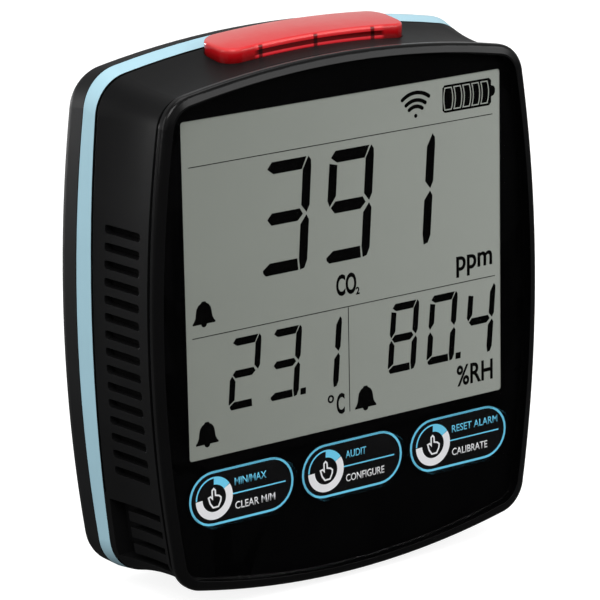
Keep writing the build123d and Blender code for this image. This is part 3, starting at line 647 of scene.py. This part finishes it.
def number(text, left, bottom, pitch, **shape):
    """Faces of a row of figures; a point takes no room."""
    faces = []
    column = left
    for letter in text:
        if letter == ".":
            side = shape["bar"] * 0.85
            corner = column - pitch + shape["width"] + shape["gap"] * 1.6
            faces.append(
                [
                    (corner, bottom), (corner + side, bottom),
                    (corner + side * 1.05, bottom + side), (corner + side * 0.05, bottom + side),
                ]
            )
        else:
            faces += digit(letter, column, bottom, **shape)
            column += pitch
    return faces


display_faces = number(
    "391", -26.8, 14.0, 19.7, width=14.1, height=29.0, bar=3.1, post=2.6, gap=0.5, slant=0.075
)
small_figures = dict(width=9.1, height=18.5, bar=2.0, post=1.75, gap=0.4, slant=0.09)
display_faces += number("23.1", -37.8, -18.9, 12.6, **small_figures)
display_faces += number("80.4", 12.35, -18.8, 12.7, **small_figures)

# lines between the fields
LINE = 0.2
display_faces += ribbon([(-47.8, 45.3), (47.6, 45.3)], LINE)
display_faces += ribbon([(-48.0, 1.7), (48.2, 1.7)], LINE)
display_faces += ribbon([(0.1, 1.5), (0.1, -26.4)], LINE)


def bell(centre, foot):
    """Alarm bell with its clapper."""
    x, z = centre, foot
    side = [
        (3.4, 0.75), (3.45, 1.15), (3.0, 1.6), (2.55, 2.5), (2.35, 3.9),
        (2.1, 4.9), (1.55, 5.7), (0.8, 6.15), (0.55, 6.55),
    ]
    body = [(x + u, z + v) for u, v in side] + [(x - u, z + v) for u, v in reversed(side)]
    return [body, arc((x, z + 0.75), 0.85, 180, 360, 8)]


for bell_x, bell_z in ((-44.4, 4.3), (-44.4, -27.0), (5.2, -27.0)):
    display_faces += bell(bell_x, bell_z)

# radio waves
WAVES = (22.5, 47.3)
WAVE_LINE = 1.0
display_faces.append(disc((WAVES[0], 48.35), 0.52))
for wave_radius in (3.5, 5.15, 7.1):
    display_faces += ribbon(arc(WAVES, wave_radius, 53, 127), WAVE_LINE)
    for wave_end in (53, 127):
        end_x = WAVES[0] + wave_radius * math.cos(math.radians(wave_end))
        end_z = WAVES[1] + wave_radius * math.sin(math.radians(wave_end))
        display_faces.append(disc((end_x, end_z), WAVE_LINE / 2, 12))

# battery gauge: a dark plate and a nub, with a pale loop round each of five curved cells
GAUGE_LEFT, GAUGE_RIGHT, GAUGE_BOTTOM, GAUGE_TOP = 31.2, 47.2, 47.75, 55.0
GAUGE_CORNER = 0.7
GAUGE_MIDDLE = (GAUGE_BOTTOM + GAUGE_TOP) / 2
GAUGE_BORDER = 0.75
display_faces.append(
    [
        (GAUGE_LEFT + GAUGE_CORNER, GAUGE_BOTTOM), (GAUGE_RIGHT - GAUGE_CORNER, GAUGE_BOTTOM),
        (GAUGE_RIGHT, GAUGE_BOTTOM + GAUGE_CORNER), (GAUGE_RIGHT, GAUGE_TOP - GAUGE_CORNER),
        (GAUGE_RIGHT - GAUGE_CORNER, GAUGE_TOP), (GAUGE_LEFT + GAUGE_CORNER, GAUGE_TOP),
        (GAUGE_LEFT, GAUGE_TOP - GAUGE_CORNER), (GAUGE_LEFT, GAUGE_BOTTOM + GAUGE_CORNER),
    ]
)
NUB_SIDE = [(0.9, -1.1), (1.3, -0.4), (1.3, 0.6), (0.9, 1.3)]
nub = [(GAUGE_RIGHT, GAUGE_MIDDLE - 1.4)] + [(GAUGE_RIGHT + u, GAUGE_MIDDLE + v) for u, v in NUB_SIDE]
display_faces.append(nub + [(GAUGE_RIGHT, GAUGE_MIDDLE + 1.6)])
CELL_COUNT = 5
CELL_PITCH = 2.95
CELL_WIDTH = 2.1
CELL_BULGE = 0.5
CELL_LINE = 0.3
cell_lines = []
for index in range(CELL_COUNT):
    cell_left = GAUGE_LEFT + GAUGE_BORDER + index * CELL_PITCH
    cell_low = GAUGE_BOTTOM + GAUGE_BORDER
    cell_high = GAUGE_TOP - GAUGE_BORDER
    rise = [cell_low + (cell_high - cell_low) * step / 6 for step in range(7)]
    shares = [1 - ((height_z - GAUGE_MIDDLE) / (GAUGE_MIDDLE - cell_low)) ** 2 for height_z in rise]
    left_bulge = CELL_BULGE if index else -0.35
    cell_right = cell_left + CELL_WIDTH
    loop = [(cell_right + CELL_BULGE * share, height_z) for share, height_z in zip(shares, rise)]
    loop += reversed([(cell_left + left_bulge * share, height_z) for share, height_z in zip(shares, rise)])
    cell_lines += ribbon(loop, CELL_LINE, closed=True)

DISPLAY_FILM = 0.04
relief("display_figures", display_faces, DISPLAY_FACE_Y, DISPLAY_FILM, CASE, ink_black)
GAUGE_LINES_Y = DISPLAY_FACE_Y - DISPLAY_FILM * MM
relief("gauge_lines", cell_lines, GAUGE_LINES_Y, DISPLAY_FILM / 2, CASE, display_face)


# ---------------------------------------------------------------- lettering
def lettering(name, text, box_mm, rear_y, thickness, body, material, weight=0.0):
    """Plain letters stretched to fill a box of (left, right, bottom, top) in millimetres."""
    curve = bpy.data.curves.new(name, "FONT")
    curve.body = text
    curve.offset = weight
    curve.resolution_u = 4
    carrier = bpy.data.objects.new(name + "_curve", curve)
    bpy.context.scene.collection.objects.link(carrier)
    bpy.context.view_layer.update()
    data = bpy.data.meshes.new_from_object(carrier)
    bpy.data.objects.remove(carrier)
    xs = [vertex.co.x for vertex in data.vertices]
    ys = [vertex.co.y for vertex in data.vertices]
    left, right, bottom, top = (value * MM for value in box_mm)
    wide = (right - left) / (max(xs) - min(xs))
    tall = (top - bottom) / (max(ys) - min(ys))
    for vertex in data.vertices:
        x = left + (vertex.co.x - min(xs)) * wide
        z = bottom + (vertex.co.y - min(ys)) * tall
        vertex.co = (x, rear_y, z)
    mesh = bmesh.new()
    mesh.from_mesh(data)
    thicken(mesh, thickness)
    mesh.to_mesh(data)
    mesh.free()
    data.materials.clear()
    data.materials.append(material)
    piece = bpy.data.objects.new(name, data)
    bpy.context.scene.collection.objects.link(piece)
    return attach(piece, body)


UNITS = (
    ("unit_gas", "CO", (-3.6, 2.8, 4.85, 10.55), 0.03),
    ("unit_gas_index", "2", (2.6, 3.8, 4.4, 6.4), 0.03),
    ("unit_parts", "ppm", (35.3, 47.3, 3.2, 8.9), 0.02),
    ("unit_degree", "o", (-6.9, -4.9, -23.0, -20.8), 0.02),
    ("unit_celsius", "C", (-4.1, -1.5, -26.5, -20.9), 0.03),
    ("unit_humidity", "%RH", (35.2, 47.3, -26.5, -20.8), 0.02),
)
for unit_name, unit_text, unit_box, unit_weight in UNITS:
    lettering(
        unit_name, unit_text, unit_box,
        DISPLAY_FACE_Y, DISPLAY_FILM, CASE, ink_black, unit_weight,
    )


# ---------------------------------------------------------------- prints on the keys
KEY_WIDTH = 32.2
KEY_HEIGHT = 14.4
KEY_LINE = 0.6
RING_OFFSET = -8.45
RING_OUTER = 5.65
RING_INNER = 3.6
RING_WIDTH = RING_OUTER - RING_INNER
RING_MIDDLE = (RING_OUTER + RING_INNER) / 2
RING_THIN = 0.4
LEADER_LINE = 0.34
LEADER_END = 13.6
HAND_LINE = 0.42
PRINT_FILM = 0.04
PRINT_SINK = 0.02
CAPTION_START = -2.1
CAPTION_WEIGHT = 0.008
# the foot and the head of each row of captions, above the key's centre
UPPER_ROW = (2.1, 4.1)
LOWER_ROW = (-4.3, -2.3)
# the words above and below the line of each key, and their widths
CAPTIONS = {
    "left": (("MIN/MAX", 9.8), ("CLEAR M/M", 12.4)),
    "middle": (("AUDIT", 6.6), ("CONFIGURE", 12.4)),
    "right": (("RESET ALARM", 15.4), ("CALIBRATE", 11.9)),
}


def pointing_hand(x, z):
    """Outline of a hand with one finger pointing up."""
    points = [
        (-1.75, 0.35), (-1.1, 0.55), (-0.6, 0.0), (-0.62, 2.1), (-0.1, 2.55), (0.35, 2.05), (0.4, 0.7),
        (1.45, 0.45), (2.05, -0.1), (1.95, -1.0), (1.2, -2.4), (-0.4, -2.45), (-1.3, -1.2),
    ]
    return ribbon([(x + u, z + v) for u, v in points], HAND_LINE, closed=True)


for side in KEYS:
    low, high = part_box(f"key_cap_{side}")
    centre_x = (low.x + high.x) / 2 / MM
    centre_z = (low.z + high.z) / 2 / MM
    print_y = high.y - PRINT_SINK * MM
    ring = (centre_x + RING_OFFSET, centre_z)
    body = f"key_{side}"
    border = pill((centre_x, centre_z), KEY_WIDTH, KEY_HEIGHT, KEY_LINE / 2)
    cyan = ribbon(border, KEY_LINE, closed=True)
    cyan += ribbon(arc(ring, RING_MIDDLE, 33, 90, 12), RING_WIDTH)
    cyan += ribbon(arc(ring, RING_OUTER - RING_THIN / 2, 90, 178, 20), RING_THIN)
    cyan += ribbon([(ring[0] + RING_OUTER, centre_z), (centre_x + LEADER_END, centre_z)], LEADER_LINE)
    white = ribbon(arc(ring, RING_MIDDLE, -180, 32, 44), RING_WIDTH)
    white += pointing_hand(ring[0], ring[1])
    relief(f"key_print_cyan_{side}", cyan, print_y, PRINT_FILM, body, ink_cyan)
    relief(f"key_print_white_{side}", white, print_y, PRINT_FILM, body, ink_white)
    upper, lower = CAPTIONS[side]
    text_left = centre_x + CAPTION_START
    lettering(
        f"key_caption_upper_{side}", upper[0],
        (text_left, text_left + upper[1], centre_z + UPPER_ROW[0], centre_z + UPPER_ROW[1]),
        print_y, PRINT_FILM, body, ink_cyan, CAPTION_WEIGHT,
    )
    lettering(
        f"key_caption_lower_{side}", lower[0],
        (text_left, text_left + lower[1], centre_z + LOWER_ROW[0], centre_z + LOWER_ROW[1]),
        print_y, PRINT_FILM, body, ink_white, CAPTION_WEIGHT,
    )


# ---------------------------------------------------------------- floor, lights and world
FLOOR_GLOW = 0.85
FLOOR_DIM = 0.12
FLOOR_REACH = 3.0
FLOOR_GAP = 0.5 * MM
WORLD_STRENGTH = 0.55
# name, place, width, height and power of each light
LIGHTS = (
    ("key_light", (-0.7, -0.9, 1.1), 0.8, 0.8, 15.0),
    ("top_light", (0.1, 0.1, 1.3), 0.9, 0.9, 6.0),
    ("side_light", (-1.3, 0.2, 0.5), 0.7, 0.9, 5.8),
    ("back_light", (-0.3, 1.4, 0.0), 0.6, 0.12, 10.0),
    ("rim_light", (0.75, -0.95, 0.45), 0.9, 0.55, 6.0),
)


def add_floor():
    """White floor just under the case; what the case reflects is dimmer, so its blacks stay deep."""
    data = bpy.data.meshes.new("floor")
    floor_z = cad_box[0][2] - FLOOR_GAP
    corners = ((-1, -1), (1, -1), (1, 1), (-1, 1))
    points = [(x * FLOOR_REACH, y * FLOOR_REACH, floor_z) for x, y in corners]
    data.from_pydata(points, [], [(0, 1, 2, 3)])
    floor = bpy.data.objects.new("floor", data)
    bpy.context.scene.collection.objects.link(floor)
    material, tree, shader = new_material("floor_white")
    cloud = noise(tree, object_coordinates(tree), 3.0)
    tint = ramp(tree, cloud, "Fac", [(0.3, (0.34, 0.34, 0.34)), (0.7, (0.36, 0.36, 0.36))])
    link(tree, tint, "Color", shader, "Base Color")
    shader.inputs["Roughness"].default_value = 0.9
    shader.inputs["Specular IOR Level"].default_value = 0.0
    shader.inputs["Emission Color"].default_value = (1.0, 1.0, 1.0, 1.0)
    shader.inputs["Emission Strength"].default_value = FLOOR_GLOW
    dim = add_node(tree, "ShaderNodeBsdfDiffuse", Color=(FLOOR_DIM, FLOOR_DIM, FLOOR_DIM, 1.0))
    path = add_node(tree, "ShaderNodeLightPath")
    seen = add_node(tree, "ShaderNodeMixShader")
    link(tree, path, "Is Camera Ray", seen, 0)
    link(tree, dim, "BSDF", seen, 1)
    link(tree, shader, "BSDF", seen, 2)
    link(tree, seen, "Shader", tree.nodes["Material Output"], "Surface")
    data.materials.append(material)


def add_light(name, place, width, height, power):
    """Soft rectangular light aimed at the middle of the frame."""
    data = bpy.data.lights.new(name, "AREA")
    data.shape = "RECTANGLE"
    data.size = width
    data.size_y = height
    data.energy = power
    light = bpy.data.objects.new(name, data)
    light.location = place
    light.rotation_euler = (-Vector(place)).to_track_quat("-Z", "Y").to_euler()
    bpy.context.scene.collection.objects.link(light)


def add_world():
    """Even white surroundings."""
    world = bpy.data.worlds.new("studio")
    world.use_nodes = True
    backdrop = world.node_tree.nodes["Background"]
    backdrop.inputs["Color"].default_value = (1.0, 1.0, 1.0, 1.0)
    backdrop.inputs["Strength"].default_value = WORLD_STRENGTH
    bpy.context.scene.world = world
    bpy.context.scene.view_settings.view_transform = "Standard"


add_floor()
for light in LIGHTS:
    add_light(*light)
add_world()
